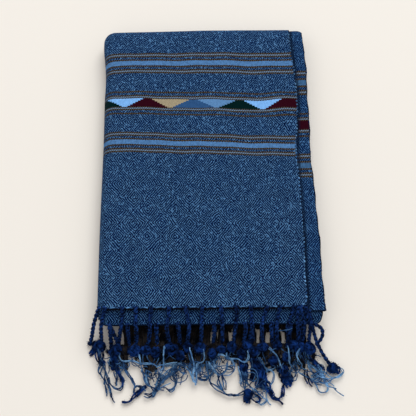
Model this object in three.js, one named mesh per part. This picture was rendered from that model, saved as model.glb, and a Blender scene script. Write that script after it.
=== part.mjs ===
import * as THREE from "three";
import { mergeVertices } from "three/addons/utils/BufferGeometryUtils.js";

// A handwoven wool muffler, folded once along its length, then three times across it, lying flat.
// Millimetres. +X runs across the pile from its long fold, +Y to its thick back fold, +Z up.
// The origin is on the table, under the middle of the whole outline with its fringe.
// Both fringed ends come out on top, at the front: the top end's two layers, then the lower end.

const CLOTH = 1.3; // one layer of the cloth
const SEAM = 0.3; // clearance between two pieces that touch
const LAYER = CLOTH + SEAM;

const PILE_HEIGHT = 20;
const PILE_LEFT = -84; // outermost line of the long fold
const PILE_BACK = 151; // outermost line of the back fold
const FOLD_REACH = 9; // how far in from those lines the cloth starts to turn down
const LEFT_TURN = THREE.MathUtils.degToRad(100); // the long fold tucks in just past the vertical
const BACK_TURN = THREE.MathUtils.degToRad(175); // the back fold goes right round, under the pile

const BEND_X = PILE_LEFT + FOLD_REACH;
const BEND_Y = PILE_BACK - FOLD_REACH;
const MIDDLE = PILE_HEIGHT / 2;

// The stretches that show. A depth counts down from the pile's outer face to the top of the layer.
// right* is the selvedge's X, front* the end line's Y, corner the radius between the two.
const STRETCHES = [
  {
    name: "top_stretch",
    depth: 0,
    rightBack: 66,
    rightFront: 66,
    frontLeft: -86,
    frontRight: -86,
    corner: 5,
  },
  {
    name: "under_stretch",
    depth: LAYER,
    rightBack: 74.5,
    rightFront: 79.5,
    frontLeft: -86,
    frontRight: -88.5,
    corner: 1,
  },
  {
    name: "lower_end",
    depth: 2 * LAYER,
    rightBack: 72,
    rightFront: 76.5,
    frontLeft: -96.6,
    frontRight: -96.6,
    corner: 4,
  },
];

// Grid of a stretch: distances from its end line, then even steps, then steps round the fold.
const NEAR_END_STEPS = [0, 1, 2.5, 5, 10];
const STEPS_ALONG = 8;
const STEPS_ACROSS = 6;
const STEPS_ROUND_LEFT = 7;
const STEPS_ROUND_BACK = 10;

// The hidden layers. Each lobe of the edge is one folded pair.
const CORE = {
  depth: STRETCHES.length * LAYER,
  lobes: 6,
  ringsPerLobe: 4,
  groove: 1.1, // how far the edge draws in between two lobes
  grooveWidth: 0.06, // share of a lobe's height between its last ring and the next lobe's first
  tuckedLobes: 3, // these lie below the long fold and reach out as far as it does
  tuckedInset: 1.4,
  rightBack: 71.5,
  rightFront: 75.5,
  front: -91,
  cornerRadius: 4,
  cornerSteps: 5,
};

// The plain slabs that stand for the reach of each end's cords and loose yarn.
// One row for each section along Y, starting SEAM in front of the end line that it hangs from.
const TOP_FRINGE_SECTIONS = [
  { yLeft: -86.3, yRight: -88.8, left: -83, right: 78.5, low: 17.1, high: 19.6 },
  { yLeft: -96.9, yRight: -96.9, left: -84, right: 79, low: 17.1, high: 19.6 },
  { yLeft: -105, yRight: -105, left: -86, right: 81, low: 13.2, high: 16.8 },
  { yLeft: -112, yRight: -112, left: -89, right: 84, low: 5.6, high: 9.6 },
  { yLeft: -119, yRight: -119, left: -93, right: 88, low: 2.9, high: 7 },
  { yLeft: -129, yRight: -129, left: -91, right: 93, low: 2.7, high: 6 },
  { yLeft: -151, yRight: -151, left: -80, right: 93, low: 2.7, high: 3.9 },
];
const LOWER_FRINGE_SECTIONS = [
  { yLeft: -96.9, yRight: -96.9, left: -79, right: 72, low: 15.5, high: 16.8 },
  { yLeft: -105, yRight: -105, left: -81, right: 74, low: 8.6, high: 12.9 },
  { yLeft: -112, yRight: -112, left: -84, right: 78, low: 1.2, high: 5.3 },
  { yLeft: -119, yRight: -119, left: -87, right: 83, low: 0, high: 2.6 },
  { yLeft: -129, yRight: -129, left: -86, right: 88, low: 0, high: 2.4 },
  { yLeft: -150, yRight: -150, left: -76, right: 88, low: 0, high: 2.4 },
];
const FRINGE_STEPS_ACROSS = 8;

const LOOKS = {
  cloth: { color: 0x2a4a72, roughness: 0.95, metalness: 0 },
  fringe: { color: 0x1a2f63, roughness: 0.95, metalness: 0 },
};

const { lerp } = THREE.MathUtils;

/** A closed solid from rows of points: one face, the other face, and a rim round both. */
function slabGeometry(face, back) {
  const rows = face.length;
  const columns = face[0].length;
  const position = [...face.flat(), ...back.flat()].flatMap((p) => [p.x, p.y, p.z]);
  const at = (side, row, column) => side * rows * columns + row * columns + column;
  const index = [];
  const quad = (a, b, c, d) => index.push(a, b, c, a, c, d);
  for (let r = 0; r + 1 < rows; r++) {
    for (let c = 0; c + 1 < columns; c++) {
      quad(at(0, r, c), at(0, r, c + 1), at(0, r + 1, c + 1), at(0, r + 1, c));
      quad(at(1, r, c), at(1, r + 1, c), at(1, r + 1, c + 1), at(1, r, c + 1));
    }
  }
  const rim = [];
  for (let c = 0; c + 1 < columns; c++) rim.push([0, c]);
  for (let r = 0; r + 1 < rows; r++) rim.push([r, columns - 1]);
  for (let c = columns - 1; c > 0; c--) rim.push([rows - 1, c]);
  for (let r = rows - 1; r > 0; r--) rim.push([r, 0]);
  rim.forEach(([r, c], i) => {
    const [nextR, nextC] = rim[(i + 1) % rim.length];
    quad(at(0, r, c), at(1, r, c), at(1, nextR, nextC), at(0, nextR, nextC));
  });
  return indexed(position, index);
}

function indexed(position, index) {
  const geometry = new THREE.BufferGeometry();
  geometry.setAttribute("position", new THREE.Float32BufferAttribute(position, 3));
  geometry.setIndex(index);
  const merged = mergeVertices(geometry, 1e-4);
  merged.computeVertexNormals();
  return merged;
}

/**
 * A point of the folded cloth, `depth` under the pile's outer face. x and y place it on the flat
 * top; turnLeft and turnBack, 0 to 1, carry it round the long fold, the back fold, or the rounded
 * corner where the two meet.
 */
function foldedPoint(x, y, turnLeft, turnBack, depth) {
  const turn = Math.max(turnLeft, turnBack);
  const lesser = turn > 0 ? Math.min(turnLeft, turnBack) / turn : 0;
  const towardsBack = turnLeft >= turnBack ? lesser / 2 : 1 - lesser / 2;
  const heading = (turn > 0 ? towardsBack : 0) * (Math.PI / 2);
  const angle = turn * lerp(LEFT_TURN, BACK_TURN, towardsBack);
  const outward = (FOLD_REACH - depth) * Math.sin(angle);
  return new THREE.Vector3(
    x - outward * Math.cos(heading),
    y + outward * Math.sin(heading),
    MIDDLE + (MIDDLE - depth) * Math.cos(angle),
  );
}

/** How far a rounded corner draws the selvedge in, `distance` from the end line. */
function cornerInset(distance, radius) {
  const left = Math.max(radius - distance, 0);
  return radius - Math.sqrt(radius * radius - left * left);
}

/** One stretch of cloth: flat on top, round the long fold at its left and round the back fold. */
function stretchGeometry(stretch) {
  const flatLength = BEND_Y - stretch.frontLeft;
  const nearEnd = NEAR_END_STEPS.map((step) => step / flatLength);
  const firstEven = nearEnd.at(-1);
  const along = Array.from({ length: STEPS_ALONG }, (_, i) =>
    lerp(firstEven, 1, (i + 1) / STEPS_ALONG),
  );
  const rows = [
    ...[...nearEnd, ...along].map((flat) => ({ flat, turn: 0 })),
    ...Array.from({ length: STEPS_ROUND_BACK }, (_, i) => ({
      flat: 1,
      turn: (i + 1) / STEPS_ROUND_BACK,
    })),
  ];
  const columns = [
    ...Array.from({ length: STEPS_ROUND_LEFT }, (_, i) => ({
      flat: 0,
      turn: 1 - i / STEPS_ROUND_LEFT,
    })),
    ...Array.from({ length: STEPS_ACROSS + 1 }, (_, i) => ({ flat: i / STEPS_ACROSS, turn: 0 })),
  ];
  const face = (depth) =>
    rows.map((row) =>
      columns.map((column) => {
        const endLine = lerp(stretch.frontLeft, stretch.frontRight, column.flat);
        const y = lerp(endLine, BEND_Y, row.flat);
        const straight = lerp(stretch.rightFront, stretch.rightBack, row.flat);
        const selvedge = straight - cornerInset(y - endLine, stretch.corner);
        const x = lerp(BEND_X, selvedge, column.flat);
        return foldedPoint(x, y, column.turn, row.turn, depth);
      }),
    );
  return slabGeometry(face(stretch.depth), face(stretch.depth + CLOTH));
}

/** The core's edge lines at height z; `draw` is how deep in a groove the height lies, 0 to 1. */
function coreEdges(z, lobe, draw) {
  const groove = CORE.groove * draw;
  const tucked = lobe < CORE.tuckedLobes;
  const rise = Math.min(Math.abs(z - MIDDLE) / (MIDDLE - CORE.depth), 1);
  const underSkin = FOLD_REACH - (FOLD_REACH - CORE.depth) * Math.sqrt(1 - rise * rise);
  const leftInset = tucked ? CORE.tuckedInset + groove : underSkin;
  const backInset = tucked ? FOLD_REACH + SEAM : underSkin;
  return {
    left: PILE_LEFT + leftInset,
    back: PILE_BACK - backInset,
    rightBack: CORE.rightBack - groove,
    rightFront: CORE.rightFront - groove,
    front: CORE.front + groove,
    backLeftRadius: tucked ? CORE.cornerRadius : Math.max(FOLD_REACH - underSkin, 0.2),
  };
}

/** One ring of the core: a rounded outline, counter-clockwise seen from above. */
function coreRing(z, edges) {
  const r = CORE.cornerRadius;
  const corners = [
    { x: edges.rightFront - r, y: edges.front + r, radius: r, from: -90 },
    { x: edges.rightBack - r, y: edges.back - r, radius: r, from: 0 },
    {
      x: edges.left + edges.backLeftRadius,
      y: edges.back - edges.backLeftRadius,
      radius: edges.backLeftRadius,
      from: 90,
    },
    { x: edges.left + r, y: edges.front + r, radius: r, from: 180 },
  ];
  return corners.flatMap((corner) =>
    Array.from({ length: CORE.cornerSteps }, (_, i) => {
      const turn = (90 * i) / (CORE.cornerSteps - 1);
      const angle = THREE.MathUtils.degToRad(corner.from + turn);
      return new THREE.Vector3(
        corner.x + corner.radius * Math.cos(angle),
        corner.y + corner.radius * Math.sin(angle),
        z,
      );
    }),
  );
}

/** The hidden layers as one rounded solid, its edge lobed like a pile of folds, flat below. */
function coreGeometry() {
  const top = PILE_HEIGHT - CORE.depth;
  const lobeHeight = top / CORE.lobes;
  const rings = [];
  for (let lobe = 0; lobe < CORE.lobes; lobe++) {
    for (let i = 0; i < CORE.ringsPerLobe; i++) {
      const across = i / (CORE.ringsPerLobe - 1);
      const draw = (2 * across - 1) ** 2;
      const z = lobeHeight * (lobe + lerp(lobe > 0 ? CORE.grooveWidth : 0, 1, across));
      rings.push(coreRing(z, coreEdges(z, lobe, draw)));
    }
  }
  const size = rings[0].length;
  const position = rings.flat().flatMap((p) => [p.x, p.y, p.z]);
  const index = [];
  for (let k = 0; k + 1 < rings.length; k++) {
    for (let i = 0; i < size; i++) {
      const next = (i + 1) % size;
      const below = k * size;
      const above = below + size;
      index.push(below + i, below + next, above + next);
      index.push(below + i, above + next, above + i);
    }
  }
  const topRing = (rings.length - 1) * size;
  for (let i = 1; i + 1 < size; i++) {
    index.push(0, i + 1, i);
    index.push(topRing, topRing + i, topRing + i + 1);
  }
  return indexed(position, index);
}

/** A fringe's slab, through its sections. */
function fringeGeometry(sections) {
  const face = (height) =>
    sections.toReversed().map((section) =>
      Array.from({ length: FRINGE_STEPS_ACROSS + 1 }, (_, i) => {
        const across = i / FRINGE_STEPS_ACROSS;
        return new THREE.Vector3(
          lerp(section.left, section.right, across),
          lerp(section.yLeft, section.yRight, across),
          section[height],
        );
      }),
    );
  return slabGeometry(face("high"), face("low"));
}

function piece(name, geometry, look) {
  const mesh = new THREE.Mesh(geometry, new THREE.MeshStandardMaterial(LOOKS[look]));
  mesh.name = name;
  return mesh;
}

const muffler = new THREE.Group();
for (const stretch of STRETCHES) {
  muffler.add(piece(stretch.name, stretchGeometry(stretch), "cloth"));
}
muffler.add(piece("folded_core", coreGeometry(), "cloth"));
muffler.add(piece("top_fringe", fringeGeometry(TOP_FRINGE_SECTIONS), "fringe"));
muffler.add(piece("lower_fringe", fringeGeometry(LOWER_FRINGE_SECTIONS), "fringe"));

export default muffler;
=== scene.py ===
"""A handwoven wool muffler folded flat: its cloth, woven borders, selvedges, cords, knots and yarn."""

import math
from collections import namedtuple

import bpy
import numpy as np
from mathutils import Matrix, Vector


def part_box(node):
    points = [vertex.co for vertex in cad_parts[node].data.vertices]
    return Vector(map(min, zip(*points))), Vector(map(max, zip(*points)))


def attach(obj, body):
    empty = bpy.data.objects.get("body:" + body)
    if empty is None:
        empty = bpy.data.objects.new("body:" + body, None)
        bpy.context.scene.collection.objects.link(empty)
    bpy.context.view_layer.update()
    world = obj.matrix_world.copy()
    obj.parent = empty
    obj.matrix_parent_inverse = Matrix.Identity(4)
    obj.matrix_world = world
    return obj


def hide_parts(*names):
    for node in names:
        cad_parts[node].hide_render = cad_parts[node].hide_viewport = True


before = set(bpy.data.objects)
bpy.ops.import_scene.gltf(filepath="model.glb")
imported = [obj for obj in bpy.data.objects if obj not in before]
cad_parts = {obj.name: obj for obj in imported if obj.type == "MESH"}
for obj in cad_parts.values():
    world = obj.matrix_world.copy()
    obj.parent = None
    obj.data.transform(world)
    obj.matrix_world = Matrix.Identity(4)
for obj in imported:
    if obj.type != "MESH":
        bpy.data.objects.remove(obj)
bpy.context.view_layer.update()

# Lengths are in millimetres up to the point where a mesh is made.
MM = 0.001


def corners(node):
    """A node's lowest and highest corners in millimetres."""
    lowest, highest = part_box(node)
    return Vector(lowest) / MM, Vector(highest) / MM


top_low, top_high = corners("top_stretch")
under_low, under_high = corners("under_stretch")
lower_low, lower_high = corners("lower_end")
core_low, core_high = corners("folded_core")

LEFT, BACK, HEIGHT = top_low.x, top_high.y, top_high.z
TOP_SELVEDGE, TOP_END = top_high.x, top_low.y
UNDER_SELVEDGE, UNDER_END = under_high.x, under_low.y
LOWER_SELVEDGE, LOWER_END = lower_high.x, lower_low.y
LAYER = HEIGHT - under_high.z  # from the face of one layer to the face of the next
CLOTH = 0.92 * LAYER  # thickness of one layer
STRIP_NARROWS = 5  # the under layer's selvedge draws in by this, end line to back fold

FOLD_REACH = 9  # how far in from the long and back folds the cloth turns down
MIDDLE = HEIGHT / 2
BEND_X, BEND_Y = LEFT + FOLD_REACH, BACK - FOLD_REACH
LEFT_TURN, BACK_TURN = math.radians(100), math.radians(175)
LEFT_STEPS, BACK_STEPS = 14, 18  # steps of the cloth's grid round each fold
END_REACH, END_DROP = 6.5, 6.5  # the long fold is smaller at the end line than at the back
FOLD_FULL_Y = 60  # from here to the back it is full size
END_CURL = 3.5  # the end line draws back round the long fold
GROOVE = 0.7  # how far the layers below are pressed in beside the top layer's selvedge
GROOVE_EDGE = (0.4, 1.8)  # full depth nearer than the first, and none beyond the second

# The weave, in distances on the cloth: across from a selvedge, along from the front.
THREAD, WARP_CLOSER = 0.55, 1.2  # pitch of the weft; the warp is set closer by this factor
DIAMOND = 19 * THREAD  # half of the diamond twill's repeat
WEAVE_LEVEL = 0.775  # between 0 for the dark warp and 1 for the lighter weft
LINE_SWING, WARP_LEAN = 0.5, 0.21  # how far the twill's lines rise and sink from there, and lean to the warp
STRAY = 3.0  # how far threads stray from straight
GRAIN, SLUBS, FLECKS = 2.75, 1.6, 0.25  # how far uneven wool shifts the weave towards dark or light
BRIGHT_FLOATS = 0.055  # share of the floats that are much lighter than the rest
STRIPE_GROUPS = (116.5, 45.3)  # middles of the two groups of stripes
STRIPE_EDGE = (1.95, 2.25)  # where the blue stripe's soft edge begins and ends, from its middle
UNDER_SHIFT = 18.5  # the under layer's bands lie this much nearer the fringe
BORDER, BORDER_HALF = 80.0, 3.75  # middle and half height of the triangle border
TRIANGLE_PITCH, FIRST_TRIANGLE = 36.0, 9.3  # the first one's middle lies this far from the selvedge
TRIANGLE_FOOT, TRIANGLE_STAIR = 15.7, 2  # half width at the foot, and how much less on each stair
STAIR_HEIGHT = BORDER_HALF / 3.5
# Lines of yarn beside a stripe and beside the border: distance from its middle, half width, colour.
STRIPE_LINES = ((2.85, 0.7, "brown"), (6.1, 0.7, "brown"), (8.7, 0.7, "brown"), (7.4, 0.5, "pale"))
BORDER_LINES = ((4.1, 0.4, "brown"), (6.15, 0.7, "brown"), (9.7, 0.7, "brown"), (5.05, 0.45, "pale"))

rng = np.random.default_rng(7)


def linked(name, data):
    """A new object in the scene."""
    made = bpy.data.objects.new(name, data)
    bpy.context.scene.collection.objects.link(made)
    return made


# ------------------------------------------------------------------ node expressions


class Value:
    """A socket of a node tree. Arithmetic on it adds Math nodes."""

    def __init__(self, nodes, socket):
        self.nodes, self.socket = nodes, socket

    def math(self, operation, *others):
        return self.nodes.node("ShaderNodeMath", {"operation": operation}, [self, *others])

    def __add__(self, other):
        return self.math("ADD", other)

    def __sub__(self, other):
        return self.math("SUBTRACT", other)

    def __rsub__(self, other):
        return self.nodes.node("ShaderNodeMath", {"operation": "SUBTRACT"}, [other, self])

    def __mul__(self, other):
        return self.math("MULTIPLY", other)

    def __truediv__(self, other):
        return self.math("DIVIDE", other)

    def __lt__(self, other):
        return self.math("LESS_THAN", other)

    def __gt__(self, other):
        return self.math("GREATER_THAN", other)

    def __abs__(self):
        return self.math("ABSOLUTE")

    __radd__, __rmul__ = __add__, __mul__

    def floor(self):
        return self.math("FLOOR")

    def wrap(self, period):
        return self.math("FLOORED_MODULO", period)

    def least(self, other):
        return self.math("MINIMUM", other)

    def most(self, other):
        return self.math("MAXIMUM", other)

    def waves(self, period):
        """A sine wave between -1 and 1."""
        return (self * (2 * math.pi / period)).math("SINE")

    def zigzag(self, half):
        """Rises to half and falls again, over and over."""
        return self.math("PINGPONG", half)

    def part(self, axis):
        """One of a vector's three parts."""
        return self.nodes.node("ShaderNodeSeparateXYZ", {}, [self], axis)

    def soft_step(self, low, high):
        """Eases from 0 at low to 1 at high."""
        values = {"Value": self, "From Min": low, "From Max": high}
        return self.nodes.node("ShaderNodeMapRange", {"interpolation_type": "SMOOTHSTEP"}, values)

    def beside(self, name):
        """Another output of the same node."""
        return Value(self.nodes, self.socket.node.outputs[name])


class Nodes:
    """A node tree under construction."""

    def __init__(self, tree):
        self.tree = tree

    def node(self, kind, settings, values=(), output=0):
        """Adds a node: its settings first, then its sockets' values or links."""
        made = self.tree.nodes.new(kind)
        for name, value in settings.items():
            setattr(made, name, value)
        for key, value in values.items() if isinstance(values, dict) else enumerate(values):
            for one in value if isinstance(value, list) else [value]:
                if isinstance(one, Value):
                    self.tree.links.new(one.socket, made.inputs[key])
                else:
                    made.inputs[key].default_value = one
        return Value(self, made.outputs[output]) if made.outputs else None

    def scaled(self, vector, amount):
        """A vector or a colour times a number."""
        return self.node("ShaderNodeVectorMath", {"operation": "SCALE"}, {0: vector, "Scale": amount})


class Look(Nodes):
    """A material under construction."""

    def __init__(self, name):
        self.material = bpy.data.materials.new(name)
        self.material.use_nodes = True
        super().__init__(self.material.node_tree)
        self.tree.nodes.clear()

    def mix(self, share, first, second):
        """The first colour where share is 0, the second where it is 1."""
        settings = {"data_type": "RGBA"}
        return self.node("ShaderNodeMix", settings, {0: share, 6: colour(first), 7: colour(second)}, 2)

    def shade(self, tint, amount):
        """A colour made lighter or darker by a factor that varies."""
        return self.scaled(tint if isinstance(tint, Value) else colour(tint)[:3], amount)

    def noise(self, place, scale, detail=2.0):
        values = {"Vector": place, "Scale": scale, "Detail": detail}
        return self.node("ShaderNodeTexNoise", {}, values)

    def place(self):
        """The place on the object itself, in metres."""
        return self.node("ShaderNodeTexCoord", {}, (), 3)

    def cloth_place(self):
        """Distances across and along the cloth, in millimetres, from the piece's own map."""
        spread = self.node("ShaderNodeUVMap", {"uv_map": CLOTH_MAP})
        return spread.part(0) / MM, spread.part(1) / MM

    def plan(self, across, along, level=0.0):
        """A place on the cloth for noise. Each level has noise of its own."""
        return self.node("ShaderNodeCombineXYZ", {}, [across, along, level])

    def speckle(self, across, along, wide, long):
        """A random number from 0 to 1 for each small cell of the cloth."""
        cell = self.plan((across / wide).floor(), (along / long).floor())
        return self.node("ShaderNodeTexWhiteNoise", {"noise_dimensions": "3D"}, {"Vector": cell})

    def finish(self, tint, height, sheen):
        """Ends the material: matt wool with a soft sheen and a raised surface."""
        relief = {"Strength": 0.8, "Distance": 0.3 * MM, "Height": height}
        normal = self.node("ShaderNodeBump", {}, relief)
        values = {"Base Color": tint, "Roughness": 0.95, "Normal": normal, "Specular IOR Level": 0.04}
        values |= {"Sheen Weight": sheen, "Sheen Roughness": 0.4, "Sheen Tint": (0.2, 0.4, 0.8, 1)}
        shader = self.node("ShaderNodeBsdfPrincipled", {}, values)
        self.node("ShaderNodeOutputMaterial", {}, {"Surface": shader})
        return self.material


def colour(value):
    """A colour given as display values from 0 to 255, or a Value as it is."""
    if isinstance(value, Value):
        return value
    scaled = [c / 255 for c in value]
    return (*[c / 12.92 if c <= 0.04045 else ((c + 0.055) / 1.055) ** 2.4 for c in scaled], 1)


CLOTH_MAP = "cloth"
EDGE_MAP = "edge"  # how far each point of the cloth lies from the nearest edge that shows
EDGE_SOFT = (0.45, 0.95)  # the cloth takes the painted edge shade nearer an edge than the first, and is plain beyond the second
NAVY_THREAD = (0, 20, 64)
MIDDLE_THREAD, MIDDLE_SHARE = (3, 40, 80), 0.15  # dark shades into light through this one
BLUE_THREAD = (82, 126, 171)
SHADED_INNER_THREAD = (68, 112, 160)  # the same thread on the layers below, darker as painted shade
STRIPE_BLUE = (80, 124, 174)
STRIP_BLUE = (62, 100, 140)  # the same stripe on the layer below, out of the light
PALE_DARK, PALE_LINE = (72, 90, 112), (116, 138, 162)
BROWN_DARK, BROWN_GOLD = (8, 9, 14), (84, 72, 56)
# painted shade: the dark rim along the cloth's edges that show, and the shadow on the layers beside the top
# layer's selvedge
EDGE_SHADE = (9, 24, 47)
UP_COLOURS = ((45, 4, 19), (0, 27, 28), (45, 82, 128))  # burgundy, bottle green, mid blue
DOWN_COLOURS = ((124, 180, 242), (90, 134, 182), (160, 148, 122))  # ice blue, sky, tan


def twill(look, across, along):
    """The diamond twill: low where the dark warp floats, high where the lighter weft does."""
    beside = look.plan(across, along, 40.0)
    pulled = across + STRAY * (look.noise(look.plan(across, along), 0.09) - 0.5)
    beaten = along + STRAY * (look.noise(beside, 0.09) - 0.5)
    lines = (WARP_CLOSER * pulled.zigzag(DIAMOND) + beaten.zigzag(DIAMOND)).waves(4 * THREAD)
    fades = look.noise(beside, 0.13, 3.0) - 0.5
    clear = 1.43 - 0.0033 * along  # the weave is clearer towards the end line
    return WEAVE_LEVEL + (LINE_SWING * lines - WARP_LEAN) * (clear + 2.1 * fades).most(0.1)


def heathered(look, across, along, float_over, dark, light):
    """The twill in wool of mixed dyes: its lines break up in flecks, slubs and broad clouds."""
    plan = look.plan(across, along)
    grain = look.noise(plan, 2.2, 1.0) - 0.5
    slubs = look.noise(look.plan(across, along, 60.0), 0.95, 0.0) - 0.5
    flecks = look.speckle(across, along, 2 * THREAD, 2 * THREAD) - 0.5
    bright = look.speckle(across, along, 1.5 * THREAD, 2 * THREAD) > 1 - BRIGHT_FLOATS
    level = float_over + GRAIN * grain + SLUBS * slubs + FLECKS * flecks
    share = level.soft_step(0.38, 1.5) + bright
    depth = 0.45 + 0.55 * level.soft_step(-0.3, 0.3)
    clouds = 0.85 + 0.3 * look.noise(plan, 0.05, 3.0)
    lower = look.mix((share / MIDDLE_SHARE).least(1.0), dark, MIDDLE_THREAD)
    upper = ((share - MIDDLE_SHARE) / (1 - MIDDLE_SHARE)).most(0.0).least(1.4)
    return look.shade(look.mix(upper, lower, light), depth * clouds)


def line_at(distance, middle, half):
    """1 on a line whose middle lies at a distance, 0 away from it."""
    return 1 - abs(distance - middle).soft_step(half * 0.75, half * 1.25)


def one_of(look, index, colours):
    """One colour after another as a whole number grows, over and over."""
    kind, tint = index.wrap(float(len(colours))), colours[0]
    for place, following in enumerate(colours[1:]):
        tint = look.mix(kind > place + 0.5, tint, following)
    return tint


def border_colours(look, across, along):
    """The tapestry border: stepped triangles that point up, and others that point down."""
    stair = ((along - BORDER + BORDER_HALF) / STAIR_HEIGHT).floor()
    past_first = (across - FIRST_TRIANGLE).most(0.0)
    index = (past_first / TRIANGLE_PITCH + 0.5).floor()
    upright = abs(past_first - index * TRIANGLE_PITCH) < TRIANGLE_FOOT - TRIANGLE_STAIR * stair
    up_tint = one_of(look, index, UP_COLOURS)
    down_tint = one_of(look, (past_first / TRIANGLE_PITCH).floor(), DOWN_COLOURS)
    # painted shade of the tapestry's ribs, a little darker between them
    rib_shade = across.waves(2 * THREAD)
    fibre = look.speckle(across, along, THREAD, THREAD)
    worn = look.noise(look.plan(across, along, 80.0), 0.5, 2.0)
    return look.shade(look.mix(upright, down_tint, up_tint), 0.7 + 0.06 * rib_shade + 0.2 * fibre + 0.42 * worn)


def plied(look, across, along, dark, light):
    """A yarn of two twisted plies, woven in as a line."""
    turn = (across + along * 0.6).waves(1.7)
    worn = look.noise(look.plan(across, along, 40.0), 0.8, 2.0)
    return look.mix((turn + 3 * (worn - 0.5)).soft_step(-0.5, 0.5), dark, light)


def lined(look, tint, distance, lines, yarns):
    """Weaves lines of yarn into the cloth on both sides of a stripe or of the border."""
    for middle, half, yarn in lines:
        tint = look.mix(line_at(distance, middle, half), tint, yarns[yarn])
    return tint


def cloth_look(name, bordered, light, stripe=STRIPE_BLUE, spans=(1.02, 0.925)):
    """The woven cloth. spans widens or narrows the two groups of stripes."""
    look = Look(name)
    across, along = look.cloth_place()
    float_over = twill(look, across, along)
    tint = heathered(look, across, along, float_over, NAVY_THREAD, light)
    height = float_over
    if bordered:
        level = along + 0.16 * across.waves(4 * THREAD)  # each line's edge is a little jagged
        from_first, from_second = (abs(level - STRIPE_GROUPS[i]) / spans[i] for i in (0, 1))
        from_stripe, from_border = from_first.least(from_second), abs(level - BORDER)
        yarns = {
            "brown": plied(look, across, along, BROWN_DARK, BROWN_GOLD),
            "pale": plied(look, across, along, PALE_DARK, PALE_LINE),
        }
        in_stripe, in_border = 1 - from_stripe.soft_step(*STRIPE_EDGE), from_border < BORDER_HALF
        fibre = look.speckle(across, along, 2 * THREAD, 2 * THREAD)
        tint = look.mix(in_stripe, tint, look.shade(stripe, 0.78 + 0.4 * fibre))
        tint = lined(look, tint, from_stripe, STRIPE_LINES, yarns)
        tint = look.mix(in_border, tint, border_colours(look, across, along))
        tint = lined(look, tint, from_border, BORDER_LINES, yarns)
        flat = in_stripe.most(in_border)
        height = float_over * (1 - flat) + (0.5 + 0.5 * across.waves(2 * THREAD)) * flat
    # painted shade near the edges that show and beside the top layer's selvedge
    edge = look.node("ShaderNodeAttribute", {"attribute_name": EDGE_MAP}, (), 2) / MM
    tint = look.mix(edge.soft_step(*EDGE_SOFT), EDGE_SHADE, tint)
    nap = look.noise(look.place(), 2600.0, 3.0)
    return look.finish(tint, height + 0.8 * nap, 0.04)


def yarn_look(name, dark, light, grain=260.0, back_fade=0.0):
    """Wool yarn, uneven in colour and hairy. back_fade darkens it towards the back fold."""
    look = Look(name)
    place = look.place()
    tint = look.mix(look.noise(place, grain, 3.0).soft_step(0.35, 0.68), dark, light)
    fuzz = look.noise(place, 2400.0, 4.0)
    broad = look.noise(place, 75.0, 1.0).soft_step(0.35, 0.65)
    shade = (0.6 + 0.8 * fuzz) * (0.76 + 0.48 * broad)
    if back_fade:
        shade = shade * (1 - back_fade * place.part(1).soft_step(0.02, 0.1))
    return look.finish(look.shade(tint, shade), fuzz, 0.08)


top_weave = cloth_look("top_weave", True, BLUE_THREAD)
banded_weave = cloth_look("banded_weave", True, SHADED_INNER_THREAD, STRIP_BLUE, (1.15, 1.06))
plain_weave = cloth_look("plain_weave", False, SHADED_INNER_THREAD)
navy_wool = yarn_look("navy_yarn", (1, 9, 34), (17, 50, 112))
cord_wool = yarn_look("cord_yarn", (0, 3, 18), (24, 55, 114), 620.0)
# painted shade: near-black wool, with brown-grey patches of painted shadowed table, for the fringe pressed
# under the cords and knots
painted_shade_wool = yarn_look("shaded_yarn", (3, 4, 8), (44, 40, 38), 170.0)
# painted shade: near-black wool for the yarn ends between the knots and the thread along the top end line
shade_dark_wool = yarn_look("deep_yarn", (4, 5, 9), (18, 18, 26))
pale_wool = yarn_look("pale_yarn", (52, 90, 136), (120, 165, 207))
dusky_wool = yarn_look("dusky_yarn", (20, 41, 76), (61, 100, 144))
selvedge_wool = yarn_look("selvedge_yarn", (26, 60, 108), (108, 158, 206), 500.0, 0.45)
pick_wool = yarn_look("pick_yarn", (18, 46, 88), (84, 130, 178), 420.0)


# ------------------------------------------------------------------ the folded form

# Soft ridges and troughs of the top: where each lies, its heading, half length, half width and rise.
Crease = namedtuple("Crease", "x y heading long wide rise")
CREASES = (
    Crease(-62, 60, 88, 95, 16, 0.5),
    Crease(8, 30, 62, 55, 9, -0.35),
    Crease(-30, -10, 128, 40, 8, -0.45),
    Crease(28, -30, 40, 46, 10, 0.4),
    Crease(36, 100, 80, 36, 11, -0.6),
    Crease(-20, 118, 10, 50, 9, 0.3),
    Crease(50, -60, 15, 38, 7, -0.3),
    Crease(-50, -62, 160, 34, 7, -0.3),
)
RIGHT_SINK = 1.3  # the pile is thinner at its loose edges than at its long fold


def smooth(low, high, value):
    """Eases from 0 at low to 1 at high."""
    share = np.clip((value - low) / (high - low), 0, 1)
    return share * share * (3 - 2 * share)


def bump(centre, half, value):
    """1 at the centre, easing to 0 at half away."""
    return 1 - smooth(0, half, np.abs(value - centre))


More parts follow.
